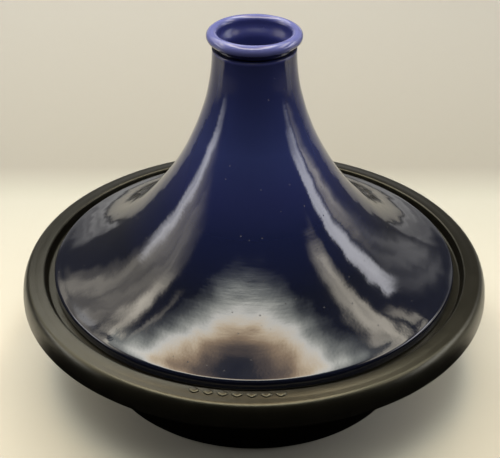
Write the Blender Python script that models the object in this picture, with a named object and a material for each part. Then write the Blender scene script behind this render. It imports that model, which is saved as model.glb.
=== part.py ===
"""Tagine pot: a cast-iron dish and the glazed stoneware cone that stands in its seat.

Both pieces are turned about the Z axis. Sizes are in metres, +Z is up, and the
origin is on the turning axis, on the table that the dish stands on.
"""

import math

import bpy
from mathutils import Vector
from mathutils.geometry import interpolate_bezier

# Dish
BASE_HEIGHT = 0.077  # table to the flat top of the rim
RIM_RADIUS = 0.155  # widest point of the rim
RIM_INNER_RADIUS = 0.140  # inner edge of the flat top
RIM_DEPTH = 0.016  # flat top to the rim's lower edge
RIM_FLAT = 0.0068  # width of the flat band around the top
SHOULDER_WIDTH = 0.0055  # how far the rounded shoulder falls outwards
SHOULDER_HEIGHT = 0.014  # how far it falls downwards
SHOULDER_DROP = 0.0002  # the crease where the flat band meets the shoulder
SEAT_DEPTH = 0.006  # flat top to the ledge that carries the lid
SEAT_DRAFT = 0.0018  # how much the rim's inner side leans in on its way down
SEAT_FILLET = 0.0015  # between the ledge and the rim's inner side
RIM_ROUNDING = 0.0012  # of the rim's inner and lower edges
IRON_WALL = 0.0045
IRON_FLOOR = 0.0045
FOOT_RADIUS = 0.1055
FOOT_WIDTH = 0.005
FOOT_HEIGHT = 0.002
FOOT_ROUNDING = 0.0025
DISH_CORNER = 0.012  # fillet between the dish's wall and its floor
MOUTH_ROUNDING = 0.002  # where the wall meets the ledge
HOLLOW_WIDTH = 0.010  # groove inside the rim's lower edge, so that the iron stays an even thickness
HOLLOW_HEIGHT = 0.007
HOLLOW_DRAFT = 0.001
HOLLOW_FILLET = 0.002
ROOF_FILLET = 0.003  # where the groove's roof slopes down to the wall
WALL_FILLET = 0.004  # under the ledge, between the rim and the wall

# Lid
LID_HEIGHT = 0.1674  # bearing edge to the top of the lip
SEAT_CLEARANCE = 0.0067  # between the lid's edge and the rim, all round
SEAT_GAP = 0.0003  # between the lid's bearing edge and the ledge
EDGE_HEIGHT = 0.0068  # height of the lid's outer edge
EDGE_ROUNDING = 0.0022
EDGE_LIFT = 0.0008  # how far above the edge the flare's curve ends
BEARING_WIDTH = 0.008  # unglazed ring that the lid stands on
BEARING_ROUNDING = 0.001
BEARING_BEVEL = 0.002  # from the ring up to the lid's inside
LEDGE_MARGIN = 0.003  # how far the ledge runs on inside the bearing ring
CLAY_WALL = 0.0065
SKIRT_SLOPE = math.radians(14)  # of the skirt where it meets the edge
SKIRT_REACH = 0.0585  # handle lengths of the flare's curve
NECK_REACH = 0.0567
NECK_RADIUS = 0.0259
LIP_RADIUS = 0.0293
LIP_ROLL = 0.0035  # radius of the rolled lip's section
LIP_ROLL_END = -110  # degrees from outwards, where the roll runs into the cove
COVE_HEIGHT = 0.0042  # undercut between the lip and the neck's shoulder
COVE_DEPTH = 0.0026
COVE_TOP = 0.75  # shares of the cove's height between which its back is upright
COVE_BOTTOM = 0.30
SHOULDER_BAND = 0.001  # upright band where the neck starts, under the cove
SHOULDER_ROUNDING = 0.0006
WELL_RADIUS = 0.019  # hollow inside the knob
WELL_DEPTH = 0.042
WELL_CORNER = 0.007
THROAT_HEIGHT = 0.010  # from the well's wall up to the lip
CEILING_RISE = 0.012  # the lid's inside ends in a low dome

# Mesh fineness
TURN_STEPS = 60
ARC_STEP = math.radians(30)
FLARE_POINTS = 14
THROAT_POINTS = 5
MERGE_DISTANCE = 1e-5  # joins the points that lie on the axis


def arc(centre, radii, start, end):
    """Points along an elliptical arc, in degrees from the outward direction."""
    steps = max(2, math.ceil(abs(math.radians(end - start)) / ARC_STEP))
    angles = [math.radians(start + (end - start) * i / steps) for i in range(steps + 1)]
    return [
        Vector((centre[0] + radii[0] * math.cos(a), centre[1] + radii[1] * math.sin(a)))
        for a in angles
    ]


def rounded(corners):
    """An outline through (radius, height, fillet) corners, each fillet drawn as an arc."""
    points = []
    last = len(corners) - 1
    for i, (radius, height, fillet) in enumerate(corners):
        corner = Vector((radius, height))
        if i in (0, last) or fillet == 0:
            points.append(corner)
            continue
        back = (Vector(corners[i - 1][:2]) - corner).normalized()
        ahead = (Vector(corners[i + 1][:2]) - corner).normalized()
        half = back.angle(ahead) / 2
        centre = corner + (back + ahead).normalized() * fillet / math.sin(half)
        start = (corner + back * fillet / math.tan(half) - centre).normalized()
        end = (corner + ahead * fillet / math.tan(half) - centre).normalized()
        steps = max(1, math.ceil((math.pi - 2 * half) / ARC_STEP))
        points += [centre + fillet * start.slerp(end, k / steps) for k in range(steps + 1)]
    return points


def offset(points, distance):
    """The curve moved sideways, to the right of its direction of travel."""
    moved = []
    for i, point in enumerate(points):
        along = points[min(i + 1, len(points) - 1)] - points[max(i - 1, 0)]
        along.normalize()
        moved.append(point + Vector((along.y, -along.x)) * distance)
    return moved


def corner_of(point, fillet=0):
    return (point.x, point.y, fillet)


def turned(name, outline, material):
    """A closed body of revolution. The outline starts and ends on the axis."""
    mesh = bpy.data.meshes.new(name)
    vertices = [(point.x, 0, point.y) for point in outline]
    edges = [(i, i + 1) for i in range(len(outline) - 1)]
    mesh.from_pydata(vertices, edges, [])
    body = bpy.data.objects.new(name, mesh)
    bpy.context.scene.collection.objects.link(body)
    screw = body.modifiers.new("Turn", "SCREW")
    screw.axis = "Z"
    screw.steps = TURN_STEPS
    screw.render_steps = TURN_STEPS
    screw.use_merge_vertices = True
    screw.merge_threshold = MERGE_DISTANCE
    screw.use_smooth_shade = True
    mesh.materials.append(material)
    return body


def finish(name, colour, roughness):
    material = bpy.data.materials.new(name)
    material.use_nodes = True
    surface = material.node_tree.nodes["Principled BSDF"]
    surface.inputs["Base Color"].default_value = (*colour, 1)
    surface.inputs["Roughness"].default_value = roughness
    return material


def seat_height():
    return BASE_HEIGHT - SEAT_DEPTH


def lid_radius():
    return RIM_INNER_RADIUS - SEAT_CLEARANCE


def mouth_radius():
    """Inner edge of the ledge, and so the mouth of the dish."""
    return lid_radius() - BEARING_WIDTH - LEDGE_MARGIN


def rim_outline():
    """From the ledge up the rim's inner side, over the top and down to its lower edge."""
    shoulder_start = RIM_RADIUS - SHOULDER_WIDTH
    shoulder_top = BASE_HEIGHT - SHOULDER_DROP
    rim_bottom = BASE_HEIGHT - RIM_DEPTH
    inner_side = rounded(
        [
            (mouth_radius() + IRON_WALL, seat_height(), 0),
            (RIM_INNER_RADIUS - SEAT_DRAFT, seat_height(), SEAT_FILLET),
            (RIM_INNER_RADIUS, BASE_HEIGHT, RIM_ROUNDING),
            (RIM_INNER_RADIUS + RIM_FLAT, BASE_HEIGHT, 0),
        ]
    )
    shoulder = arc(
        (shoulder_start, shoulder_top - SHOULDER_HEIGHT),
        (SHOULDER_WIDTH, SHOULDER_HEIGHT),
        90,
        0,
    )
    lower_edge = rounded(
        [
            (RIM_RADIUS, shoulder_top - SHOULDER_HEIGHT, 0),
            (RIM_RADIUS, rim_bottom, RIM_ROUNDING),
            (RIM_RADIUS - IRON_WALL, rim_bottom, 0),
        ]
    )
    return inner_side + shoulder + lower_edge[1:]


def base_outline():
    """Section of the dish, from the middle of its floor round to the middle of its underside."""
    floor = FOOT_HEIGHT + IRON_FLOOR
    wall_top = seat_height() - IRON_WALL
    lean = (mouth_radius() + IRON_WALL - FOOT_RADIUS) / wall_top
    hollow_top = BASE_HEIGHT - RIM_DEPTH + HOLLOW_HEIGHT
    hollow_outer = RIM_RADIUS - IRON_WALL
    inside = rounded(
        [
            (0, floor, 0),
            (mouth_radius() - lean * (seat_height() - floor), floor, DISH_CORNER),
            (mouth_radius(), seat_height(), MOUTH_ROUNDING),
            (mouth_radius() + IRON_WALL, seat_height(), 0),
        ]
    )
    outside = rounded(
        [
            (hollow_outer, BASE_HEIGHT - RIM_DEPTH, 0),
            (hollow_outer - HOLLOW_DRAFT, hollow_top, HOLLOW_FILLET),
            (hollow_outer - HOLLOW_WIDTH, hollow_top, ROOF_FILLET),
            (mouth_radius() + IRON_WALL, wall_top, WALL_FILLET),
            (FOOT_RADIUS, 0, FOOT_ROUNDING),
            (FOOT_RADIUS - FOOT_WIDTH, 0, 0),
            (FOOT_RADIUS - FOOT_WIDTH - FOOT_HEIGHT, FOOT_HEIGHT, 0),
            (0, FOOT_HEIGHT, 0),
        ]
    )
    return inside + rim_outline()[1:] + outside[1:]


def neck_shoulder():
    """Height of the neck's upper edge, under the cove."""
    return LID_HEIGHT - 2 * LIP_ROLL - COVE_HEIGHT


def knob_outline():
    """The well inside the knob, its rolled lip and the cove below it."""
    roll_centre = (LIP_RADIUS - LIP_ROLL, LID_HEIGHT - LIP_ROLL)
    well_floor = LID_HEIGHT - WELL_DEPTH
    throat_start = roll_centre[1] - THROAT_HEIGHT
    shoulder = neck_shoulder()
    well = rounded(
        [
            (0, well_floor, 0),
            (WELL_RADIUS, well_floor, WELL_CORNER),
            (WELL_RADIUS, throat_start, 0),
        ]
    )
    lip_inside = Vector((roll_centre[0] - LIP_ROLL, roll_centre[1]))
    handle = Vector((0, THROAT_HEIGHT / 2))
    throat = interpolate_bezier(
        well[-1],
        well[-1] + handle,
        lip_inside - handle,
        lip_inside,
        THROAT_POINTS,
    )
    roll = arc(roll_centre, (LIP_ROLL, LIP_ROLL), 180, LIP_ROLL_END)
    cove = rounded(
        [
            corner_of(roll[-1]),
            (NECK_RADIUS - COVE_DEPTH, shoulder + COVE_TOP * COVE_HEIGHT, 0),
            (NECK_RADIUS - COVE_DEPTH, shoulder + COVE_BOTTOM * COVE_HEIGHT, 0),
            (NECK_RADIUS, shoulder, SHOULDER_ROUNDING),
            (NECK_RADIUS, shoulder - SHOULDER_BAND, 0),
        ]
    )
    return well + throat[1:] + roll[1:] + cove[1:]


def flare():
    """The outside of the cone, from under the shoulder down to the edge."""
    top = Vector((NECK_RADIUS, neck_shoulder() - SHOULDER_BAND))
    edge = Vector((lid_radius() - EDGE_ROUNDING, EDGE_HEIGHT + EDGE_LIFT))
    skirt = Vector((-math.cos(SKIRT_SLOPE), math.sin(SKIRT_SLOPE)))
    return interpolate_bezier(
        top,
        top - Vector((0, NECK_REACH)),
        edge + skirt * SKIRT_REACH,
        edge,
        FLARE_POINTS,
    )


def lid_outline():
    """Section of the lid, from the middle of the well's floor to the dome inside."""
    outside = flare()
    edge = rounded(
        [
            corner_of(outside[-2]),
            (outside[-1].x + EDGE_ROUNDING, EDGE_HEIGHT, EDGE_ROUNDING),
            (lid_radius(), 0, BEARING_ROUNDING),
            (lid_radius() - BEARING_WIDTH, 0, BEARING_ROUNDING),
            (lid_radius() - BEARING_WIDTH - BEARING_BEVEL, EDGE_HEIGHT / 2, 0),
        ]
    )
    ceiling = LID_HEIGHT - WELL_DEPTH - CLAY_WALL
    inside = [
        point
        for point in reversed(offset(outside, CLAY_WALL))
        if edge[-1].x > point.x and edge[-1].y < point.y < ceiling - CEILING_RISE
    ]
    dome = arc((0, inside[-1].y), (inside[-1].x, ceiling - inside[-1].y), 0, 90)
    dome[-1].x = 0
    return knob_outline() + outside[1:-1] + edge[1:] + inside + dome[1:]


for leftover in list(bpy.data.objects):
    bpy.data.objects.remove(leftover)

pot = bpy.data.objects.new("tagine_pot", None)
bpy.context.scene.collection.objects.link(pot)

enamel = finish("Satin black enamel", (0.020, 0.020, 0.017), 0.38)
base = turned("base", base_outline(), enamel)
base.parent = pot

glaze = finish("Cobalt glazed stoneware", (0.035, 0.045, 0.210), 0.12)
lid = turned("lid", lid_outline(), glaze)
lid.parent = pot
lid.location.z = seat_height() + SEAT_GAP
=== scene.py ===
# %% [markdown]
# # A tagine pot
# A tagine is a North African stew pot. This one is made of two pieces. The dish is cast
# iron under satin black enamel, and it can stand on a hob. The lid is a tall cone of
# stoneware under a gloss cobalt glaze. It stands loose on a ledge inside the dish's rim.
#
# Both pieces are turned: the lid on a potter's wheel, the dish from a turned pattern. So
# each of them is one section swept round the middle axis, and this script works that way.

# %% Load the frame
import math

import bpy
from mathutils import Color, Matrix, Vector, noise
from mathutils.geometry import interpolate_bezier


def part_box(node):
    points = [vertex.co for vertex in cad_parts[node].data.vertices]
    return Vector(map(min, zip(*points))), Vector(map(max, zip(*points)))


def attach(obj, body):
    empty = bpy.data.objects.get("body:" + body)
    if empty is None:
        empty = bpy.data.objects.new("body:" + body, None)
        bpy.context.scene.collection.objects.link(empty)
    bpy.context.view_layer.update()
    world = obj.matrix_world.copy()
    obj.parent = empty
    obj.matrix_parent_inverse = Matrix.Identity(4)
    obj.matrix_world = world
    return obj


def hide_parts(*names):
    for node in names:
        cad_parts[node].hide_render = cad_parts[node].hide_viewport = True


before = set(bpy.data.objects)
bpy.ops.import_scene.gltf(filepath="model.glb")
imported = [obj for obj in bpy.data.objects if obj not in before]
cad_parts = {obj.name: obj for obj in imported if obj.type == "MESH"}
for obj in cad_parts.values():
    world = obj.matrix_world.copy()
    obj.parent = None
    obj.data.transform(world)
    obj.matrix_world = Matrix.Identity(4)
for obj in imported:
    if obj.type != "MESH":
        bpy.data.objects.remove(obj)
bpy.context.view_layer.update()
_, dish_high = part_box("base")
lid_low, lid_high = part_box("lid")

# %% [markdown]
# ## Measures
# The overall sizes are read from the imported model, so that the looks always fit it. The
# smaller ones are the pot's own details, given in millimetres where they are first used.
# The unit `MM` turns them into Blender's metres.

# %% The overall sizes
MM = 0.001
rim_radius = dish_high.x
rim_top = dish_high.z
lid_radius = lid_high.x
lid_foot = lid_low.z
lid_top = lid_high.z
print(f"rim {2 * rim_radius / MM:.1f} mm across, lid {2 * lid_radius / MM:.1f} mm across")

# %% [markdown]
# ## Drawing a section
# A section is a list of points, each a radius and a height. Straight runs need only their
# ends, and each corner is given a fillet, because neither cast iron nor clay has a sharp
# edge. The first two helpers draw arcs and filleted corners. The third one adds points
# along the straight runs, so that the light falls evenly over them when they are shaded
# smooth, and drops doubled points, which would crease the mesh.

# %% Section helpers
ARC_STEP = math.radians(9)
DOUBLE = 0.01 * MM  # where two arcs meet, their ends are the same point to within this


def arc(centre, radii, start, end):
    """Points along an elliptical arc, in degrees from the outward direction."""
    steps = max(2, math.ceil(abs(math.radians(end - start)) / ARC_STEP))
    angles = [math.radians(start + (end - start) * i / steps) for i in range(steps + 1)]
    return [
        Vector((centre[0] + radii[0] * math.cos(a), centre[1] + radii[1] * math.sin(a)))
        for a in angles
    ]


def rounded(corners):
    """An outline through (radius, height, fillet) corners, each fillet drawn as an arc."""
    points = []
    last = len(corners) - 1
    for i, (radius, height, fillet) in enumerate(corners):
        corner = Vector((radius, height))
        if i in (0, last) or fillet == 0:
            points.append(corner)
            continue
        back = (Vector(corners[i - 1][:2]) - corner).normalized()
        ahead = (Vector(corners[i + 1][:2]) - corner).normalized()
        half = back.angle(ahead) / 2
        centre = corner + (back + ahead).normalized() * fillet / math.sin(half)
        start = (corner + back * fillet / math.tan(half) - centre).normalized()
        end = (corner + ahead * fillet / math.tan(half) - centre).normalized()
        steps = max(2, math.ceil((math.pi - 2 * half) / ARC_STEP))
        points += [centre + fillet * start.slerp(end, k / steps) for k in range(steps + 1)]
    return points


def evenly(outline, longest):
    """The same outline with extra points, so that no run is longer, and without doubles."""
    points = [outline[0]]
    for ahead in outline[1:]:
        start = points[-1]
        if (ahead - start).length < DOUBLE:
            continue
        runs = max(1, math.ceil((ahead - start).length / longest))
        points += [start.lerp(ahead, k / runs) for k in range(1, runs + 1)]
    return points


print(f"arcs are drawn in steps of {math.degrees(ARC_STEP):.0f} degrees")

# %% [markdown]
# ## Turning a section
# Blender can sweep an outline round an axis with the Screw modifier or with bmesh's spin.
# Here the rings are laid down in code instead, because that leaves one point at each end
# of the axis, and because each point can be pushed a little way out of true as it is
# made. Hand-thrown and hand-dipped pieces are never quite round, and on a gloss surface a
# tenth of a millimetre is enough to make the reflections wander.

# %% Turn an outline into a mesh
TURN_STEPS = 320


def turned(name, outline, sway):
    """A closed body of revolution. Sway says how far out of true it is at a place."""
    rings = outline[1:-1]
    run = 0
    vertices = [Vector((0, 0, outline[0].y))]
    for i, point in enumerate(rings, start=1):
        along = (outline[i + 1] - outline[i - 1]).normalized()
        run += (point - outline[i - 1]).length
        for k in range(TURN_STEPS):
            turn = 2 * math.pi * k / TURN_STEPS
            outward = Vector((math.cos(turn), math.sin(turn), 0))
            at = outward * point.x + Vector((0, 0, point.y))
            normal = outward * along.y * -1 + Vector((0, 0, along.x))
            vertices.append(at + normal * sway(at, outward, run))
    vertices.append(Vector((0, 0, outline[-1].y)))
    last = len(vertices) - 1
    faces = []
    for k in range(TURN_STEPS):
        ahead = (k + 1) % TURN_STEPS
        faces.append((0, 1 + k, 1 + ahead))
        for ring in range(len(rings) - 1):
            low, high = 1 + ring * TURN_STEPS, 1 + (ring + 1) * TURN_STEPS
            faces.append((low + k, high + k, high + ahead, low + ahead))
        edge = 1 + (len(rings) - 1) * TURN_STEPS
        faces.append((edge + ahead, edge + k, last))
    mesh = bpy.data.meshes.new(name)
    mesh.from_pydata(vertices, [], faces)
    mesh.shade_smooth()
    piece = bpy.data.objects.new(name, mesh)
    bpy.context.scene.collection.objects.link(piece)
    print(f"{name}: {len(rings)} rings, {len(faces)} faces")
    return piece


print("points round each ring:", TURN_STEPS)

# %% [markdown]
# ## The dish
# The dish is one iron casting: a floor, a leaning wall and a wide rim. A ledge inside the
# rim carries the lid. The rim is hollow underneath, because a casting cools best when its
# walls are all about as thick. The enamel rounds every edge by about a millimetre.

# %% The rim's section
RIM_BAND = 15 * MM  # from the rim's outer edge to its inner edge
RIM_FLAT = 6.8 * MM
RIM_DEPTH = 16 * MM
SHOULDER = (5.5 * MM, 14 * MM)  # how far the rounded shoulder runs out and down
SHOULDER_DROP = 0.8 * MM  # from the rim's top to the start of the shoulder
CROWN_DROP = 0.7 * MM  # the band round the top falls this far from its inner to its outer edge
CROWN_START = 2 * MM  # from the inner edge, past its rounding
CROWN_STEPS = 6
SEAT_DEPTH = 6 * MM
SEAT_DRAFT = 1.8 * MM
SEAT_FILLET = 1.5 * MM
RIM_FILLET = 1.2 * MM
IRON = 4.5 * MM  # thickness of the casting
MOUTH_MARGIN = 11 * MM  # from the lid's edge in to the mouth of the dish
seat = rim_top - SEAT_DEPTH
mouth = lid_radius - MOUTH_MARGIN
rim_inner = rim_radius - RIM_BAND
rim_bottom = rim_top - RIM_DEPTH


def crown_height(radius):
    """Height of the band round the top, which falls away outwards in a shallow crown."""
    return rim_top - CROWN_DROP * ((radius - rim_inner) / RIM_FLAT) ** 2


def rim_outline():
    """From the ledge up the rim's inner side, over the top and down to its lower edge."""
    shoulder_at = (rim_radius - SHOULDER[0], rim_top - SHOULDER_DROP - SHOULDER[1])
    crown_start = rim_inner + CROWN_START
    inner_side = rounded(
        [
            (mouth + IRON, seat, 0),
            (rim_inner - SEAT_DRAFT, seat, SEAT_FILLET),
            (rim_inner, rim_top, RIM_FILLET),
            (crown_start, crown_height(crown_start), 0),
        ]
    )
    crown = []
    for k in range(1, CROWN_STEPS + 1):
        radius = crown_start + (RIM_FLAT - CROWN_START) * k / CROWN_STEPS
        crown.append(Vector((radius, crown_height(radius))))
    lower_edge = rounded(
        [
            (rim_radius, shoulder_at[1], 0),
            (rim_radius, rim_bottom, RIM_FILLET),
            (rim_radius - IRON, rim_bottom, 0),
        ]
    )
    return inner_side + crown + arc(shoulder_at, SHOULDER, 90, 0) + lower_edge[1:]


print(f"ledge {SEAT_DEPTH / MM:.1f} mm below the rim, mouth {2 * mouth / MM:.1f} mm across")

# %% The whole of the dish's section
FOOT_RADIUS = 105.5 * MM
FOOT_WIDTH = 5 * MM
FOOT_HEIGHT = 2 * MM
FOOT_FILLET = 2.5 * MM
FLOOR_FILLET = 12 * MM
MOUTH_FILLET = 2 * MM
WALL_FILLET = 4 * MM  # where the wall meets the rim from below
HOLLOW = (10 * MM, 7 * MM)  # width and height of the groove inside the rim's lower edge
HOLLOW_DRAFT = 1 * MM
HOLLOW_FILLETS = (2 * MM, 3 * MM)  # in the groove's outer and inner corners


def dish_outline():
    """From the middle of the dish's floor round to the middle of its underside."""
    floor = FOOT_HEIGHT + IRON
    lean = (mouth + IRON - FOOT_RADIUS) / (seat - IRON)
    groove_top = rim_bottom + HOLLOW[1]
    groove_outer = rim_radius - IRON
    inside = rounded(
        [
            (0, floor, 0),
            (mouth - lean * (seat - floor), floor, FLOOR_FILLET),
            (mouth, seat, MOUTH_FILLET),
            (mouth + IRON, seat, 0),
        ]
    )
    outside = rounded(
        [
            (groove_outer, rim_bottom, 0),
            (groove_outer - HOLLOW_DRAFT, groove_top, HOLLOW_FILLETS[0]),
            (groove_outer - HOLLOW[0], groove_top, HOLLOW_FILLETS[1]),
            (mouth + IRON, seat - IRON, WALL_FILLET),
            (FOOT_RADIUS, 0, FOOT_FILLET),
            (FOOT_RADIUS - FOOT_WIDTH, 0, 0),
            (FOOT_RADIUS - FOOT_WIDTH - FOOT_HEIGHT, FOOT_HEIGHT, 0),
            (0, FOOT_HEIGHT, 0),
        ]
    )
    return inside + rim_outline()[1:] + outside[1:]


print("points in the dish's section:", len(dish_outline()))

# %% Turn the dish
CASTING_SWELL = (22 * MM, 0.05 * MM)  # size of the iron's slow swellings, and how far they go
DISH_RUN = 3 * MM  # the longest run between two rings


def casting_sway(at, outward, run):
    """The slight unevenness of iron that was cast in sand."""
    return CASTING_SWELL[1] * noise.noise(at / CASTING_SWELL[0])


dish = turned("dish", evenly(dish_outline(), DISH_RUN), casting_sway)
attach(dish, "base")
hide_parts("base")

# %% [markdown]
# ## The cast marks
# A foundry casts its mark into the front of the rim, raised by less than a millimetre. A
# row of plain lozenges stands here in its place. Each one is a small pillow: rings of the
# same lozenge outline, stacked on a rounded profile. It is laid out by radius and angle,
# so that it bends with the rim.

# %% Lozenges on the rim
LOZENGE_COUNT = 7
LOZENGE_ARC = (-104, -84)  # degrees from +X at the middle of the first one and the last one
LOZENGE_HALF = (3.4 * MM, 2.3 * MM)  # along the rim and across it
LOZENGE_HEIGHT = 0.8 * MM
LOZENGE_SINK = 0.2 * MM  # how far its foot goes into the rim
LOZENGE_PINCH = 0.35  # 0 would make each one an oval
LOZENGE_STEPS = 24
LOZENGE_PROFILE = ((1.0, -1.0), (1.0, 0.0), (0.95, 0.4), (0.84, 0.7), (0.66, 0.9), (0.4, 1.0))


def lozenge(angle):
    """Vertices and faces of one raised lozenge, centred at this angle on the flat band."""
    middle = rim_inner + RIM_FLAT / 2
    vertices = []
    for scale, height in LOZENGE_PROFILE:
        proud = height * (LOZENGE_SINK if height < 0 else LOZENGE_HEIGHT)
        for k in range(LOZENGE_STEPS):
            turn = 2 * math.pi * k / LOZENGE_STEPS
            sine, cosine = math.sin(turn), math.cos(turn)
            across = sine * abs(sine) ** LOZENGE_PINCH * LOZENGE_HALF[1] * scale
            along = cosine * abs(cosine) ** LOZENGE_PINCH * LOZENGE_HALF[0] * scale
            place = math.radians(angle) + along / middle
            radius = middle + across
            up = crown_height(radius) + proud
            vertices.append((radius * math.cos(place), radius * math.sin(place), up))
    faces = [tuple(reversed(range(LOZENGE_STEPS)))]
    top = (len(LOZENGE_PROFILE) - 1) * LOZENGE_STEPS
    for low in range(0, top, LOZENGE_STEPS):
        high = low + LOZENGE_STEPS
        for k in range(LOZENGE_STEPS):
            ahead = (k + 1) % LOZENGE_STEPS
            faces.append((low + k, low + ahead, high + ahead, high + k))
    faces.append(tuple(range(top, top + LOZENGE_STEPS)))
    return vertices, faces


all_vertices = []
all_faces = []
start, end = LOZENGE_ARC
for i in range(LOZENGE_COUNT):
    vertices, faces = lozenge(start + (end - start) * i / (LOZENGE_COUNT - 1))
    first = len(all_vertices)
    all_vertices += vertices
    all_faces += [tuple(first + index for index in face) for face in faces]
mark_mesh = bpy.data.meshes.new("cast_lozenges")
mark_mesh.from_pydata(all_vertices, [], all_faces)
mark_mesh.shade_smooth()
lozenges = bpy.data.objects.new("cast_lozenges", mark_mesh)
bpy.context.scene.collection.objects.link(lozenges)
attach(lozenges, "base")
print("lozenges on the rim:", LOZENGE_COUNT)

# %% [markdown]
# ## The lid
# The lid's section starts in the well inside the knob, rolls over the lip, drops into the
# cove below it and then runs down one long curve. A cubic Bezier suits that curve: it
# leaves the neck upright and arrives at the edge on the skirt's slope.

# %% The lid's outline above the neck
LIP_RADIUS = 29.3 * MM
LIP_ROLL = 3.5 * MM
LIP_ARC = (180, -110)  # the lip rolls over from inside to under itself, in degrees
WELL_RADIUS = 19 * MM
WELL_DEPTH = 42 * MM
WELL_FILLET = 7 * MM
THROAT = 10 * MM  # height over which the well widens to the lip
THROAT_STEPS = 12
NECK_RADIUS = 25.9 * MM
COVE_HEIGHT = 4.2 * MM
COVE_DEPTH = 2.6 * MM
COVE_BENDS = (0.75, 0.30)  # shares of the cove's height between which its back stands upright
COVE_FILLETS = (0.8 * MM, 0.5 * MM, 0.6 * MM)  # from its upper bend down to the neck
SHOULDER_BAND = 1 * MM
roll_at = (LIP_RADIUS - LIP_ROLL, lid_top - LIP_ROLL)
neck_top = lid_top - 2 * LIP_ROLL - COVE_HEIGHT


def knob_outline():
    """The well inside the knob, its rolled lip and the cove below it."""
    well_floor = lid_top - WELL_DEPTH
    well = rounded(
        [
            (0, well_floor, 0),
            (WELL_RADIUS, well_floor, WELL_FILLET),
            (WELL_RADIUS, roll_at[1] - THROAT, 0),
        ]
    )
    inside = Vector((roll_at[0] - LIP_ROLL, roll_at[1]))
    handle = Vector((0, THROAT / 2))
    throat = interpolate_bezier(well[-1], well[-1] + handle, inside - handle, inside, THROAT_STEPS)
    roll = arc(roll_at, (LIP_ROLL, LIP_ROLL), *LIP_ARC)
    cove_back = NECK_RADIUS - COVE_DEPTH
    cove = rounded(
        [
            (roll[-1].x, roll[-1].y, 0),
            (cove_back, neck_top + COVE_BENDS[0] * COVE_HEIGHT, COVE_FILLETS[0]),
            (cove_back, neck_top + COVE_BENDS[1] * COVE_HEIGHT, COVE_FILLETS[1]),
            (NECK_RADIUS, neck_top, COVE_FILLETS[2]),
            (NECK_RADIUS, neck_top - SHOULDER_BAND, 0),
        ]
    )
    return well + throat[1:] + roll[1:] + cove[1:]


print(f"knob {2 * LIP_RADIUS / MM:.1f} mm across, points round it: {len(knob_outline())}")

# %% The lid's flare and inside
EDGE_HEIGHT = 6.8 * MM
EDGE_ROUNDING = 2.2 * MM
EDGE_STEP = 0.8 * MM  # the skirt ends this far above the edge band
SKIRT_SLOPE = math.radians(14)
SKIRT_REACH = 58.5 * MM  # how far the skirt's slope and the neck's upright hold
NECK_REACH = 56.7 * MM
FLARE_STEPS = 110
BEARING_WIDTH = 8 * MM
BEARING_FILLET = 1 * MM
BEARING_DRAFT = 2 * MM
CLAY = 6.5 * MM  # thickness of the wall
CEILING_RISE = 12 * MM  # how far the dome inside rises above the walls


def flare():
    """The outside of the cone, from the neck down to the edge."""
    top = Vector((NECK_RADIUS, neck_top - SHOULDER_BAND))
    edge = Vector((lid_radius - EDGE_ROUNDING, lid_foot + EDGE_HEIGHT + EDGE_STEP))
    skirt = Vector((-math.cos(SKIRT_SLOPE), math.sin(SKIRT_SLOPE)))
    neck_handle = top - Vector((0, NECK_REACH))
    return interpolate_bezier(top, neck_handle, edge + skirt * SKIRT_REACH, edge, FLARE_STEPS)


def offset(points, distance):
    """The curve moved sideways, to the right of its direction of travel."""
    moved = []
    for i, point in enumerate(points):
        along = points[min(i + 1, len(points) - 1)] - points[max(i - 1, 0)]
        along.normalize()
        moved.append(point + Vector((along.y, -along.x)) * distance)
    return moved


def lid_outline():
    """From the middle of the well's floor round to the dome inside."""
    outside = flare()
    edge = rounded(
        [
            (outside[-2].x, outside[-2].y, 0),
            (outside[-1].x + EDGE_ROUNDING, lid_foot + EDGE_HEIGHT, EDGE_ROUNDING),
            (lid_radius, lid_foot, BEARING_FILLET),
            (lid_radius - BEARING_WIDTH, lid_foot, BEARING_FILLET),
            (lid_radius - BEARING_WIDTH - BEARING_DRAFT, lid_foot + EDGE_HEIGHT / 2, 0),
        ]
    )
    ceiling = lid_top - WELL_DEPTH - CLAY
    inside = [
        point
        for point in reversed(offset(outside, CLAY))
        if edge[-1].x > point.x and edge[-1].y < point.y < ceiling - CEILING_RISE
    ]
    dome = arc((0, inside[-1].y), (inside[-1].x, ceiling - inside[-1].y), 0, 90)
    dome[-1].x = 0
    return knob_outline() + outside[1:-1] + edge[1:] + inside + dome[1:]


print("points in the lid's section:", len(lid_outline()))

# %% Turn the lid
UNEVENNESS = (30 * MM, 0.26 * MM)  # size of the clay's slow swellings, and how far they go
DIMPLES = (9 * MM, 0.09 * MM)
THROWING_MARKS = (6 * MM, 0.04 * MM)  # spacing of the rings that the potter's fingers leave
THROWING_WANDER = 2  # how much each ring changes on its way round
LID_RUN = 2 * MM  # the longest run between two rings


def thrown_sway(at, outward, run):
    """How far thrown and glazed clay strays from a true cone."""
    swelling = UNEVENNESS[1] * noise.noise(at / UNEVENNESS[0])
    dimple = DIMPLES[1] * noise.noise(at / DIMPLES[0])
    ring_at = outward * THROWING_WANDER + Vector((0, 0, run / THROWING_MARKS[0]))
    ridge = THROWING_MARKS[1] * noise.noise(ring_at)
    return swelling + dimple + ridge


lid = turned("cone_lid", evenly(lid_outline(), LID_RUN), thrown_sway)
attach(lid, "lid")
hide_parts("lid")


# %% [markdown]
# ## Colours and nodes
# Paint makers give colours as sRGB hex values, and Blender's sockets take linear ones, so
# one function turns one into the other. A material is a small network of nodes. A second
# function adds a node with its settings, its numbers and its links in one call, which
# keeps each material below short enough to read from top to bottom.

# %% Colour and node helpers
def linear(hex_colour):
    """An sRGB hex colour as the linear RGBA that Blender's sockets take."""
    channels = [int(hex_colour[i : i + 2], 16) / 255 for i in (1, 3, 5)]
    return (*Color(channels).from_srgb_to_scene_linear(), 1)


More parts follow.
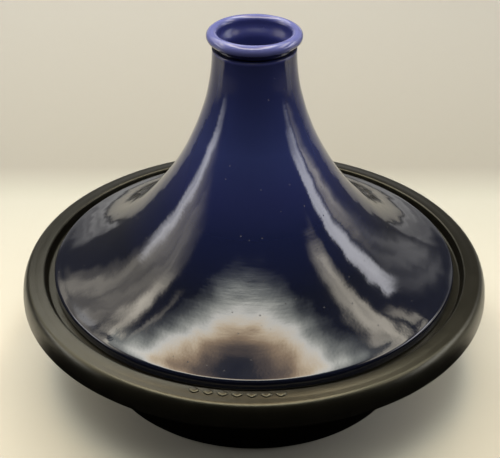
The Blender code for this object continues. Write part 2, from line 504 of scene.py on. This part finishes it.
def add_node(tree, kind, settings, inputs):
    """Adds one node, with its settings, its socket values and its links."""
    made = tree.nodes.new(kind)
    for name, value in settings.items():
        setattr(made, name, value)
    for socket, value in inputs.items():
        if isinstance(value, bpy.types.NodeSocket):
            tree.links.new(value, made.inputs[socket])
        else:
            made.inputs[socket].default_value = value
    return made


def set_stops(ramp_node, stops):
    """Gives a colour ramp these (position, hex colour) stops, from low to high."""
    elements = ramp_node.color_ramp.elements
    while len(elements) < len(stops):
        elements.new(1.0)
    for element, (position, hex_colour) in zip(elements, stops):
        element.position = position
        element.color = linear(hex_colour)


def new_material(name):
    """A material with its tree, its Principled BSDF and the object's coordinates in metres."""
    material = bpy.data.materials.new(name)
    material.use_nodes = True
    tree = material.node_tree
    place = add_node(tree, "ShaderNodeTexCoord", {}, {}).outputs["Object"]
    return material, tree, tree.nodes["Principled BSDF"], place


print("middle grey in linear light:", round(linear("#808080")[0], 3))

# %% [markdown]
# ## Satin black enamel
# The dish is coated with vitreous enamel: powdered glass, sprayed on and fired at about
# 800 degrees. The matt kinds hold fine crystals, so the black is deep, but light from
# above spreads over it as a soft grey sheen. The casting's sandy skin shows through as a
# grain of under a millimetre. Its black is the base colour, the sheen comes from the
# roughness, and the grain from a noise texture that drives a bump.

# %% Enamel
ENAMEL_GRAIN = 0.9 * MM  # the sand is finer, and is drawn this coarse so that it shows
ENAMEL_GRAIN_HEIGHT = 0.06 * MM
ENAMEL_MOTTLE = 9 * MM  # patches where the coat was sprayed a little thicker
ENAMEL_BLACKS = ("#040403", "#0b0a08")
ENAMEL_ROUGHNESS = (0.26, 0.36)
ENAMEL_SHEEN = "#fffbdf"  # the crystals take a little of the blue out of the highlight


def satin_black_enamel():
    """Fired glass with fine crystals in it: a deep black that turns grey only in a highlight."""
    material, tree, surface, place = new_material("Satin black vitreous enamel")
    grain = add_node(
        tree,
        "ShaderNodeTexNoise",
        {},
        {"Vector": place, "Scale": 1 / ENAMEL_GRAIN, "Detail": 4.0, "Roughness": 0.6},
    )
    bump = add_node(
        tree,
        "ShaderNodeBump",
        {},
        {"Height": grain.outputs["Fac"], "Distance": ENAMEL_GRAIN_HEIGHT},
    )
    mottle = add_node(
        tree,
        "ShaderNodeTexNoise",
        {},
        {"Vector": place, "Scale": 1 / ENAMEL_MOTTLE, "Detail": 3.0},
    )
    shade = add_node(
        tree,
        "ShaderNodeMix",
        {"data_type": "RGBA"},
        {
            "Factor": mottle.outputs["Fac"],
            "A": linear(ENAMEL_BLACKS[0]),
            "B": linear(ENAMEL_BLACKS[1]),
        },
    )
    sheen = add_node(
        tree,
        "ShaderNodeMapRange",
        {},
        {
            "Value": mottle.outputs["Fac"],
            "To Min": ENAMEL_ROUGHNESS[0],
            "To Max": ENAMEL_ROUGHNESS[1],
        },
    )
    tree.links.new(shade.outputs["Result"], surface.inputs["Base Color"])
    tree.links.new(sheen.outputs["Result"], surface.inputs["Roughness"])
    tree.links.new(bump.outputs["Normal"], surface.inputs["Normal"])
    surface.inputs["Specular Tint"].default_value = linear(ENAMEL_SHEEN)
    return material


enamel = satin_black_enamel()
print(enamel.name, "is made of", len(enamel.node_tree.nodes), "nodes")

# %% [markdown]
# ## Gloss cobalt glaze
# The lid was dipped in a glaze coloured with cobalt, and fired. Before it froze, the glaze
# ran down the cone. So it is thin and pale over the rolled lip, a clear blue on the neck,
# and thick and almost black on the skirt. A colour ramp over the height draws that run. The
# same ramp paints shade into the cove under the lip and a highlight along the neck's shoulder.
# The surface is glass, with the default IOR of 1.5 and a low roughness. Up close it has
# the slight orange peel of any fired glaze, the fine lines that the wheel left in the clay
# and a few pinholes where gas escaped. Those three are added up into one bump.

# %% The glaze's colour, with painted shade and a painted highlight under the lip
GLAZE_RUN_AND_PAINTED_LIGHT = (  # height above the lid's foot, and the glaze's colour there
    (30 * MM, "#0b0e1b"),
    (58 * MM, "#101530"),
    (78 * MM, "#191e41"),
    (100 * MM, "#20274e"),
    (134 * MM, "#1a1f42"),
    (154.5 * MM, "#1c2042"),
    # At 155.7 mm a painted highlight runs along the rounded top edge of the neck. From 156.8 to 160.0
    # mm the cove under the lip and the lip's underside get painted shade.
    (155.7 * MM, "#34386a"),
    (156.8 * MM, "#0a0d22"),
    (160.0 * MM, "#0a0d22"),
    (162.0 * MM, "#383c6a"),
    (167.4 * MM, "#565b90"),
)
GLAZE_IN_WELL = "#22275a"
WELL_EDGE = 2 * MM  # from the top of the lip inwards, where the well's colour begins


def glaze_colour_and_painted_light(tree, place):
    """Colour by height, with painted shade and highlight under the lip, and how far a place is in the
    well.
    """
    height = add_node(tree, "ShaderNodeSeparateXYZ", {}, {"Vector": place}).outputs["Z"]
    share = add_node(
        tree,
        "ShaderNodeMapRange",
        {},
        {"Value": height, "From Min": lid_foot, "From Max": lid_top},
    )
    # The ramp holds the glaze's run and, under the lip, painted shade and a painted highlight.
    run = add_node(tree, "ShaderNodeValToRGB", {}, {"Fac": share.outputs["Result"]})
    set_stops(run, [(up / (lid_top - lid_foot), tone) for up, tone in GLAZE_RUN_AND_PAINTED_LIGHT])
    flat = add_node(
        tree, "ShaderNodeVectorMath", {"operation": "MULTIPLY"}, {0: place, 1: (1, 1, 0)}
    )
    radius = add_node(
        tree, "ShaderNodeVectorMath", {"operation": "LENGTH"}, {0: flat.outputs["Vector"]}
    )
    inside = add_node(
        tree,
        "ShaderNodeMapRange",
        {"interpolation_type": "SMOOTHSTEP"},
        {
            "Value": radius.outputs["Value"],
            "From Min": roll_at[0] - WELL_EDGE,
            "From Max": roll_at[0] - LIP_ROLL,
        },
    )
    above = add_node(
        tree,
        "ShaderNodeMath",
        {"operation": "GREATER_THAN"},
        {0: height, 1: lid_top - WELL_DEPTH - CLAY / 2},
    )
    in_well = add_node(
        tree,
        "ShaderNodeMath",
        {"operation": "MULTIPLY"},
        {0: inside.outputs["Result"], 1: above.outputs["Value"]},
    ).outputs["Value"]
    colour = add_node(
        tree,
        "ShaderNodeMix",
        {"data_type": "RGBA"},
        {"Factor": in_well, "A": run.outputs["Color"], "B": linear(GLAZE_IN_WELL)},
    )
    return colour.outputs["Result"], in_well


print("colour stops down the glaze:", len(GLAZE_RUN_AND_PAINTED_LIGHT))

# %% The glaze's skin
ORANGE_PEEL = 1.8 * MM
ORANGE_PEEL_HEIGHT = 0.018 * MM
WHEEL_LINE_LENGTH = 14 * MM
WHEEL_LINE_SPACING = 1.6 * MM
WHEEL_LINE_HEIGHT = 0.03 * MM
PINHOLE_SPACING = 8 * MM
PINHOLE_RADIUS = 0.5 * MM
PINHOLE_FLOOR = 0.4  # share of its radius over which a pinhole is at its deepest
PINHOLE_DEPTH = 0.2 * MM


def glaze_skin(tree, place):
    """Orange peel, the fine lines that the wheel left and a few pinholes, as one bump."""
    peel = add_node(
        tree,
        "ShaderNodeTexNoise",
        {},
        {"Vector": place, "Scale": 1 / ORANGE_PEEL, "Detail": 2.0},
    )
    stretch = (1 / WHEEL_LINE_LENGTH, 1 / WHEEL_LINE_LENGTH, 1 / WHEEL_LINE_SPACING)
    stretched = add_node(
        tree, "ShaderNodeVectorMath", {"operation": "MULTIPLY"}, {0: place, 1: stretch}
    )
    lines = add_node(
        tree,
        "ShaderNodeTexNoise",
        {},
        {"Vector": stretched.outputs["Vector"], "Scale": 1.0, "Detail": 2.0},
    )
    lined = add_node(
        tree,
        "ShaderNodeMath",
        {"operation": "MULTIPLY_ADD"},
        {
            0: lines.outputs["Fac"],
            1: WHEEL_LINE_HEIGHT / ORANGE_PEEL_HEIGHT,
            2: peel.outputs["Fac"],
        },
    )
    cells = add_node(
        tree, "ShaderNodeTexVoronoi", {}, {"Vector": place, "Scale": 1 / PINHOLE_SPACING}
    )
    pinholes = add_node(
        tree,
        "ShaderNodeMapRange",
        {"interpolation_type": "SMOOTHSTEP"},
        {
            "Value": cells.outputs["Distance"],
            "From Min": PINHOLE_RADIUS / PINHOLE_SPACING,
            "From Max": PINHOLE_FLOOR * PINHOLE_RADIUS / PINHOLE_SPACING,
            "To Max": -PINHOLE_DEPTH / ORANGE_PEEL_HEIGHT,
        },
    )
    skin = add_node(
        tree,
        "ShaderNodeMath",
        {"operation": "ADD"},
        {0: lined.outputs["Value"], 1: pinholes.outputs["Result"]},
    )
    bump = add_node(
        tree,
        "ShaderNodeBump",
        {},
        {"Height": skin.outputs["Value"], "Distance": ORANGE_PEEL_HEIGHT},
    )
    return bump.outputs["Normal"]


print(f"orange peel {ORANGE_PEEL / MM:.1f} mm wide, wheel lines {WHEEL_LINE_SPACING / MM:.1f} mm apart")

# %% Glaze
GLAZE_ROUGHNESS = 0.07
WELL_ROUGHNESS = 0.30  # the glaze in the well cooled slowly and lost its gloss


def cobalt_glaze():
    """Cobalt glass over clay: saturated where it is thin, almost black where it is thick."""
    material, tree, surface, place = new_material("Gloss cobalt glaze")
    colour, in_well = glaze_colour_and_painted_light(tree, place)
    gloss = add_node(
        tree,
        "ShaderNodeMapRange",
        {},
        {"Value": in_well, "To Min": GLAZE_ROUGHNESS, "To Max": WELL_ROUGHNESS},
    )
    tree.links.new(colour, surface.inputs["Base Color"])
    tree.links.new(gloss.outputs["Result"], surface.inputs["Roughness"])
    tree.links.new(glaze_skin(tree, place), surface.inputs["Normal"])
    return material


glaze = cobalt_glaze()
print(glaze.name, "is made of", len(glaze.node_tree.nodes), "nodes")

# %% [markdown]
# ## Bare stoneware
# A glazed piece would stick to the kiln shelf, so the potter wipes the glaze off the ring
# that it stands on. What shows there is the fired clay: buff, rough and finely speckled.
# It is a second material on the same mesh, given to the faces of that ring.

# %% Stoneware
CLAY_SPECK = 1.2 * MM
CLAY_GRIT_HEIGHT = 0.08 * MM
CLAY_BUFFS = ("#a18a6c", "#cdbb9c")
CLAY_ROUGHNESS = 0.85


def bare_stoneware():
    """Fired clay without a glaze: it scatters light evenly, so it looks dry and pale."""
    material, tree, surface, place = new_material("Buff stoneware, unglazed")
    specks = add_node(
        tree,
        "ShaderNodeTexNoise",
        {},
        {"Vector": place, "Scale": 1 / CLAY_SPECK, "Detail": 3.0},
    )
    shade = add_node(
        tree,
        "ShaderNodeMix",
        {"data_type": "RGBA"},
        {
            "Factor": specks.outputs["Fac"],
            "A": linear(CLAY_BUFFS[0]),
            "B": linear(CLAY_BUFFS[1]),
        },
    )
    bump = add_node(
        tree,
        "ShaderNodeBump",
        {},
        {"Height": specks.outputs["Fac"], "Distance": CLAY_GRIT_HEIGHT},
    )
    tree.links.new(shade.outputs["Result"], surface.inputs["Base Color"])
    tree.links.new(bump.outputs["Normal"], surface.inputs["Normal"])
    surface.inputs["Roughness"].default_value = CLAY_ROUGHNESS
    return material


stoneware = bare_stoneware()
print(stoneware.name, "is made of", len(stoneware.node_tree.nodes), "nodes")

# %% Give the pieces their finishes
WIPED_HEIGHT = 0.3 * MM  # the glaze is wiped off this far up from what the lid stands on
dish.data.materials.append(enamel)
lozenges.data.materials.append(enamel)
lid.data.materials.append(glaze)
lid.data.materials.append(stoneware)
ring_faces = [face for face in lid.data.polygons if face.center.z < lid_foot + WIPED_HEIGHT]
for face in ring_faces:
    face.material_index = 1
print("unglazed faces on the ring the lid stands on:", len(ring_faces))

# %% [markdown]
# ## The floor
# The pot stands on a round pale painted board. Behind the pot the board turns a tone
# darker, as a wall would in the same light. One flat mesh does both jobs: it never hides
# the pot from a low side view, and the change of tone is in its material.

# %% Floor
FLOOR_REACH = 1.3
FLOOR_STEPS = 180
# From front to back the tones are painted light and shade: darker in front, where they deepen the pot's
# shadow, lightest under the pot, a painted shade band behind it, and lighter again far back.
BOARD_PAINT_AND_PAINTED_LIGHT = (  # distance behind the pot's middle, and the paint's tone there
    (-0.30, "#9e9a8d"),
    (0.00, "#bbb9af"),
    (0.205, "#a6a7a0"),
    (0.268, "#8a8983"),
    (0.75, "#a3a3a0"),
)
BOARD_ROUGHNESS = 0.6


def pale_board_with_painted_light():
    """Eggshell paint on a board, pale with only a trace of sheen, its tones painted light and shade."""
    material, tree, surface, place = new_material("Pale board with painted light and shade")
    back = add_node(tree, "ShaderNodeSeparateXYZ", {}, {"Vector": place}).outputs["Y"]
    start, end = BOARD_PAINT_AND_PAINTED_LIGHT[0][0], BOARD_PAINT_AND_PAINTED_LIGHT[-1][0]
    share = add_node(
        tree, "ShaderNodeMapRange", {}, {"Value": back, "From Min": start, "From Max": end}
    )
    board_paint_and_painted_light = add_node(tree, "ShaderNodeValToRGB", {}, {"Fac": share.outputs["Result"]})
    set_stops(board_paint_and_painted_light, [((at - start) / (end - start), tone) for at, tone in BOARD_PAINT_AND_PAINTED_LIGHT])
    tree.links.new(board_paint_and_painted_light.outputs["Color"], surface.inputs["Base Color"])
    surface.inputs["Roughness"].default_value = BOARD_ROUGHNESS
    return material


def stage_sheet(name, corners, material):
    """One flat sheet of the stage, which isn't part of the object."""
    mesh = bpy.data.meshes.new(name)
    mesh.from_pydata(corners, [], [tuple(range(len(corners)))])
    mesh.materials.append(material)
    sheet = bpy.data.objects.new(name, mesh)
    bpy.context.scene.collection.objects.link(sheet)
    return sheet


floor_edge = []
for k in range(FLOOR_STEPS):
    turn = 2 * math.pi * k / FLOOR_STEPS
    floor_edge.append((FLOOR_REACH * math.cos(turn), FLOOR_REACH * math.sin(turn), 0))
stage_sheet("floor", floor_edge, pale_board_with_painted_light())
print("floor reaches", FLOOR_REACH, "m each way")

# %% [markdown]
# ## Black flags
# In a studio, black cloths called flags are put where a shiny object would otherwise
# mirror something pale. The rim's side and the top of the neck both look at the floor in
# front of the pot. One flag lies there, and one stands at its far edge. They show only in
# reflections: the camera doesn't see them, and they cast no shadow.

# %% Flags
FLAG_REACH = 1.6  # to each side
FLAG_NEAR = 0.0  # where the cloth begins, under the middle of the dish
FLAG_FAR = -0.80
FLAG_HEIGHT = 0.42
FLAG_LIFT = 1 * MM  # from the board
FLAG_SIDES = (1.5, 0.5)  # distances from the middle where the cloth is thin and thick
FLAG_FADE = 0.05
FLAG_BLACK = "#050505"


def black_cloth():
    """Wool flag cloth, which gives back almost no light, and thins out towards its sides."""
    material, tree, surface, place = new_material("Black flag cloth")
    surface.inputs["Base Color"].default_value = linear(FLAG_BLACK)
    surface.inputs["Roughness"].default_value = 1.0
    surface.inputs["Specular IOR Level"].default_value = 0.0
    parts = add_node(tree, "ShaderNodeSeparateXYZ", {}, {"Vector": place})
    aside = add_node(tree, "ShaderNodeMath", {"operation": "ABSOLUTE"}, {0: parts.outputs["X"]})
    density = 1.0
    for value, thin, thick in (
        (aside.outputs["Value"], *FLAG_SIDES),
        (parts.outputs["Y"], FLAG_NEAR, FLAG_NEAR - FLAG_FADE),
    ):
        ramp = add_node(
            tree,
            "ShaderNodeMapRange",
            {"interpolation_type": "SMOOTHSTEP"},
            {"Value": value, "From Min": thin, "From Max": thick},
        )
        density = add_node(
            tree,
            "ShaderNodeMath",
            {"operation": "MULTIPLY"},
            {0: ramp.outputs["Result"], 1: density},
        ).outputs["Value"]
    tree.links.new(density, surface.inputs["Alpha"])
    return material


cloth = black_cloth()
for name, place, height in (
    ("lying_flag", FLAG_NEAR, FLAG_LIFT),
    ("standing_flag", FLAG_FAR, FLAG_HEIGHT),
):
    corners = [
        (-FLAG_REACH, FLAG_FAR, FLAG_LIFT),
        (FLAG_REACH, FLAG_FAR, FLAG_LIFT),
        (FLAG_REACH, place, height),
        (-FLAG_REACH, place, height),
    ]
    flag = stage_sheet(name, corners, cloth)
    flag.visible_camera = False
    flag.visible_diffuse = False
    flag.visible_shadow = False
    print(name, "shows in reflections only")

# %% [markdown]
# ## Softboxes
# A gloss glaze shows its room more than its own colour, so the lights are what gives this
# lid its look. A softbox is a lit panel, and here it is an area light. Its emission
# fades towards each edge, as a real softbox does towards its frame. The fade is worked
# out from the place on the panel in metres, so that each edge can be as soft as it needs.
# The cloth in front hangs in folds, drawn by a stretched noise texture, and they leave
# darker streaks in the light.

# %% Softbox helper
def softbox(name, centre, axes, size, radiance, hex_colour, glow):
    """A lit panel that faces away from the cross product of its axes. Glow draws its light."""
    along, up = (Vector(axis).normalized() for axis in axes)
    light = bpy.data.lights.new(name, "AREA")
    light.shape = "RECTANGLE"
    light.size, light.size_y = size
    light.energy = radiance * math.pi * size[0] * size[1]
    light.color = linear(hex_colour)[:3]
    light.use_nodes = True
    tree = light.node_tree
    spot = add_node(tree, "ShaderNodeNewGeometry", {}, {}).outputs["Position"]
    from_centre = add_node(
        tree, "ShaderNodeVectorMath", {"operation": "SUBTRACT"}, {0: spot, 1: centre}
    ).outputs["Vector"]
    runs = []
    for axis in (along, up):
        run = add_node(
            tree, "ShaderNodeVectorMath", {"operation": "DOT_PRODUCT"}, {0: from_centre, 1: axis}
        )
        runs.append(run.outputs["Value"])
    glow(tree, runs, size)
    lamp = bpy.data.objects.new(name, light)
    lamp.matrix_world = Matrix((along, up, along.cross(up))).transposed().to_4x4()
    lamp.location = centre
    lamp.visible_camera = False
    bpy.context.scene.collection.objects.link(lamp)
    print(f"{name}: {size[0]} by {size[1]} m, radiance {radiance}")
    return lamp


# %% Soft edges and folds
FOLDS = (1.2, 7.0)  # folds in the diffusing cloth, per metre along it and across it
FOLD_EDGES = (0.36, 0.64)  # where the noise is a deep fold, and where it is flat cloth
FOLD_LIGHT = (0.55, 1.25)  # light through the deepest fold and between two folds
FOLD_SHIFT = 10  # times the width of a panel's first fade, so that their folds differ


def through_cloth(tree, runs, shift):
    """How much light comes through the cloth, which hangs in folds."""
    place = add_node(
        tree, "ShaderNodeCombineXYZ", {}, {"X": runs[0], "Y": runs[1], "Z": shift}
    ).outputs["Vector"]
    stretched = add_node(
        tree, "ShaderNodeVectorMath", {"operation": "MULTIPLY"}, {0: place, 1: (*FOLDS, 1.0)}
    ).outputs["Vector"]
    folds = add_node(
        tree, "ShaderNodeTexNoise", {}, {"Vector": stretched, "Scale": 1.0, "Detail": 3.0}
    ).outputs["Fac"]
    return add_node(
        tree,
        "ShaderNodeMapRange",
        {"interpolation_type": "SMOOTHSTEP"},
        {
            "Value": folds,
            "From Min": FOLD_EDGES[0],
            "From Max": FOLD_EDGES[1],
            "To Min": FOLD_LIGHT[0],
            "To Max": FOLD_LIGHT[1],
        },
    ).outputs["Result"]


def fading(*fades):
    """A glow that fades over these widths at its (low, high) edges, along and then up."""

    def glow(tree, runs, size):
        level = through_cloth(tree, runs, FOLD_SHIFT * fades[0][0])
        for run, length, (low, high) in zip(runs, size, fades):
            for edge, soft in ((-length / 2, low), (length / 2, -high)):
                ramp = add_node(
                    tree,
                    "ShaderNodeMapRange",
                    {"interpolation_type": "SMOOTHSTEP"},
                    {"Value": run, "From Min": edge, "From Max": edge + soft},
                ).outputs["Result"]
                level = add_node(
                    tree, "ShaderNodeMath", {"operation": "MULTIPLY"}, {0: ramp, 1: level}
                ).outputs["Value"]
        tree.links.new(level, tree.nodes["Emission"].inputs["Strength"])

    return glow


print("folds per metre across a softbox's cloth:", FOLDS[1])

# %% [markdown]
# ## Light from above
# One large panel hangs 1.4 m above the board. Its light is an arch, open at the back: a
# bright band runs up both sides and round the front, and inside it the light falls
# through amber to almost dark. For each point of the panel the nodes work out how far out
# it lies, as a share of the way to the band, and a colour ramp turns that into light. On
# the front of the lid it is the bright arch near the edge, and on the iron rim it is the
# soft grey sheen.

# %% Overhead panel
CREAM = "#fffdfa"
CEILING = 1.4
OVERHEAD_CENTRE = (-0.09, -0.22, CEILING)
OVERHEAD_SIZE = (1.8, 1.94)
ARCH_WIDTH = 0.43  # from the middle line to the brightest part of the band
ARCH_DEPTH = 0.71  # from the arch's turning point to the band in front
ARCH_TURN = 0.42  # where the sides turn into the arch, behind the panel's centre
ARCH_SQUARENESS = 2.6  # 2 would make the arch an ellipse
ARCH_LIGHT = (  # share of the way out to the band, and the light there
    (0.00, "#1e1f21"),
    (0.25, "#2e2d2c"),
    (0.46, "#6e6154"),
    (0.68, "#b39b7e"),
    (0.84, "#f0dcbc"),
    (0.98, "#fff6e4"),
    (1.12, "#fafaf4"),
    (1.26, "#c8cbc4"),
    (1.45, "#8c908c"),
    (1.70, "#4a4d4c"),
    (2.00, "#000000"),
)
ARCH_RADIANCE = 12


def arch_glow(tree, runs, size):
    """Light in a band round the sides and the front, almost dark in the middle."""
    aside = add_node(
        tree, "ShaderNodeMath", {"operation": "DIVIDE"}, {0: runs[0], 1: ARCH_WIDTH}
    ).outputs["Value"]
    past_turn = add_node(
        tree, "ShaderNodeMath", {"operation": "SUBTRACT"}, {0: runs[1], 1: ARCH_TURN}
    ).outputs["Value"]
    forward = add_node(
        tree, "ShaderNodeMath", {"operation": "MINIMUM"}, {0: past_turn, 1: 0.0}
    ).outputs["Value"]
    ahead = add_node(
        tree, "ShaderNodeMath", {"operation": "DIVIDE"}, {0: forward, 1: ARCH_DEPTH}
    ).outputs["Value"]
    total = 0.0
    for run in (aside, ahead):
        distance = add_node(
            tree, "ShaderNodeMath", {"operation": "ABSOLUTE"}, {0: run}
        ).outputs["Value"]
        power = add_node(
            tree, "ShaderNodeMath", {"operation": "POWER"}, {0: distance, 1: ARCH_SQUARENESS}
        ).outputs["Value"]
        total = add_node(
            tree, "ShaderNodeMath", {"operation": "ADD"}, {0: power, 1: total}
        ).outputs["Value"]
    share = add_node(
        tree, "ShaderNodeMath", {"operation": "POWER"}, {0: total, 1: 1 / ARCH_SQUARENESS}
    ).outputs["Value"]
    furthest = ARCH_LIGHT[-1][0]
    scaled = add_node(tree, "ShaderNodeMath", {"operation": "DIVIDE"}, {0: share, 1: furthest})
    light = add_node(tree, "ShaderNodeValToRGB", {}, {"Fac": scaled.outputs["Value"]})
    set_stops(light, [(at / furthest, tone) for at, tone in ARCH_LIGHT])
    tree.links.new(light.outputs["Color"], tree.nodes["Emission"].inputs["Color"])


FACING_DOWN = ((1, 0, 0), (0, 1, 0))
softbox(
    "overhead",
    OVERHEAD_CENTRE,
    FACING_DOWN,
    OVERHEAD_SIZE,
    ARCH_RADIANCE,
    CREAM,
    arch_glow,
)

# %% [markdown]
# ## Light from the sides
# On each side stand bright slanting panels and a wide dim one, like windows with a pale
# wall round them. On the lid they are the long streaks that run up to the neck. Each row
# gives a panel's name, its side and distance, its centre's place, its slant in degrees, its
# size, its edges, its light and its tint.

# %% Side panels
WALL_DISTANCE = 1.0
COOL = "#f4f4fa"
WARM = "#fff6e2"
SIDE_PANELS = (  # name, side, (back, up), slant, (length, width), fades along, fades up, light, tint
    ("left_low", -1, (0.00, 0.33), 30, (0.95, 0.26), (0.40, 0.15), (0.10, 0.10), 6.0, COOL),
    ("left_high", -1, (0.42, 1.30), 38, (1.75, 0.34), (0.55, 0.20), (0.16, 0.16), 6.5, WARM),
    ("left_top", -1, (0.30, 1.62), 29, (1.60, 0.16), (0.40, 0.30), (0.07, 0.07), 2.5, WARM),
    ("left_fill", -1.02, (0.42, 0.90), 24, (2.10, 0.95), (0.45, 0.30), (0.30, 0.25), 1.9, WARM),
    ("right_high", 1, (0.22, 1.42), 35, (2.00, 0.62), (0.35, 0.20), (0.12, 0.35), 5.5, WARM),
    ("right_middle", 1, (0.75, 1.27), 29, (0.90, 0.18), (0.30, 0.20), (0.08, 0.05), 3.5, WARM),
    ("right_low", 1, (0.07, 0.50), 33, (1.25, 0.30), (0.35, 0.20), (0.12, 0.06), 6, COOL),
    ("right_foot", 1, (0.10, 0.30), 8, (1.00, 0.38), (0.25, 0.40), (0.15, 0.12), 3.0, WARM),
    ("right_fill", 1.02, (0.90, 0.60), 0, (1.40, 0.90), (0.50, 0.40), (0.20, 0.35), 0.55, CREAM),
)
for name, side, (back, rise), slant, size, ends, edges, radiance, tint in SIDE_PANELS:
    slant = math.radians(slant)
    along = Vector((0, math.cos(slant), math.sin(slant)))
    up = Vector((math.copysign(1, side), 0, 0)).cross(along)
    place = (side * WALL_DISTANCE, back, rise)
    softbox(name, place, (along, up), size, radiance, tint, fading(ends, edges))

# %% [markdown]
# ## Light from behind and from afar
# A low panel behind the pot stands in for the far wall, which the back of the lid mirrors.
# A high one gives the flat band of the rim its grey sheen. The last one hangs far in front
# and only lights the board there, so it isn't mirrored in the pot.

# %% Back panels
UPRIGHT = ((1, 0, 0), (0, 0, -1))
FAR_PANELS = (  # name, centre, axes, size, light, fades along, fades up, whether it is mirrored
    ("back_wall", (0, 2.2, 0.45), UPRIGHT, (2.9, 1.0), 0.62, (0.1, 0.1), (0.6, 0.1), True),
    ("high_back", (-0.5, 1.3, 1.4), FACING_DOWN, (1.3, 0.8), 5, (0.3, 0.3), (0.15, 0.15), True),
    ("distant", (0, -2.6, 1.6), FACING_DOWN, (4, 2.4), 0.6, (0.6, 0.6), (0.6, 0.6), False),
)
for name, place, axes, size, radiance, ends, edges, mirrored in FAR_PANELS:
    lamp = softbox(name, place, axes, size, radiance, CREAM, fading(ends, edges))
    lamp.visible_glossy = mirrored

# %% [markdown]
# ## The room
# The world fills in what the panels leave: dark towards the front, paler to the back. Low
# views look past the board's edge, so what the camera itself sees there is a pale wall.

# %% World
ROOM_SHADES = ((0.30, "#181818"), (0.60, "#4a4840"), (0.95, "#5e5c54"))  # from front to back
WALL_TONE = "#d9d5c9"
world = bpy.data.worlds.new("Studio")
world.use_nodes = True
tree = world.node_tree
direction = add_node(tree, "ShaderNodeTexCoord", {}, {}).outputs["Generated"]
backwards = add_node(tree, "ShaderNodeSeparateXYZ", {}, {"Vector": direction}).outputs["Y"]
share = add_node(
    tree, "ShaderNodeMapRange", {}, {"Value": backwards, "From Min": -1.0, "From Max": 1.0}
)
room = add_node(tree, "ShaderNodeValToRGB", {}, {"Fac": share.outputs["Result"]})
set_stops(room, ROOM_SHADES)
seen = add_node(tree, "ShaderNodeLightPath", {}, {}).outputs["Is Camera Ray"]
shown = add_node(
    tree,
    "ShaderNodeMix",
    {"data_type": "RGBA"},
    {"Factor": seen, "A": room.outputs["Color"], "B": linear(WALL_TONE)},
)
tree.links.new(shown.outputs["Result"], tree.nodes["Background"].inputs["Color"])
bpy.context.scene.world = world
bpy.context.scene.view_settings.view_transform = "Standard"
print("world shades from front to back:", [hex_colour for _, hex_colour in ROOM_SHADES])

# %% [markdown]
# ## The camera
# The camera looks down at the pot through a lens of nearly 80 mm, from about 0.6 m in
# front of its axis and 0.4 m above its rim. From there the rim is a wide ellipse and the
# neck stands over its far side. The camera's place is given from that axis and that rim.

# %% Camera
VIEW_DISTANCE = 620 * MM
VIEW_RISE = 404.4 * MM  # above the rim
VIEW_SIDE = -2.7 * MM
VIEW_PITCH = math.radians(31.71)
SENSOR_WIDTH = 36  # the camera's own two settings are in millimetres
FOCAL_LENGTH = 78.8
camera = bpy.data.cameras.new("camera")
camera.sensor_width = SENSOR_WIDTH
camera.lens = FOCAL_LENGTH
eye = bpy.data.objects.new("camera", camera)
eye.location = (VIEW_SIDE, -VIEW_DISTANCE, rim_top + VIEW_RISE)
eye.rotation_euler = (math.pi / 2 - VIEW_PITCH, 0, 0)
bpy.context.scene.collection.objects.link(eye)
bpy.context.scene.camera = eye
print("camera at", [round(x, 3) for x in eye.location])
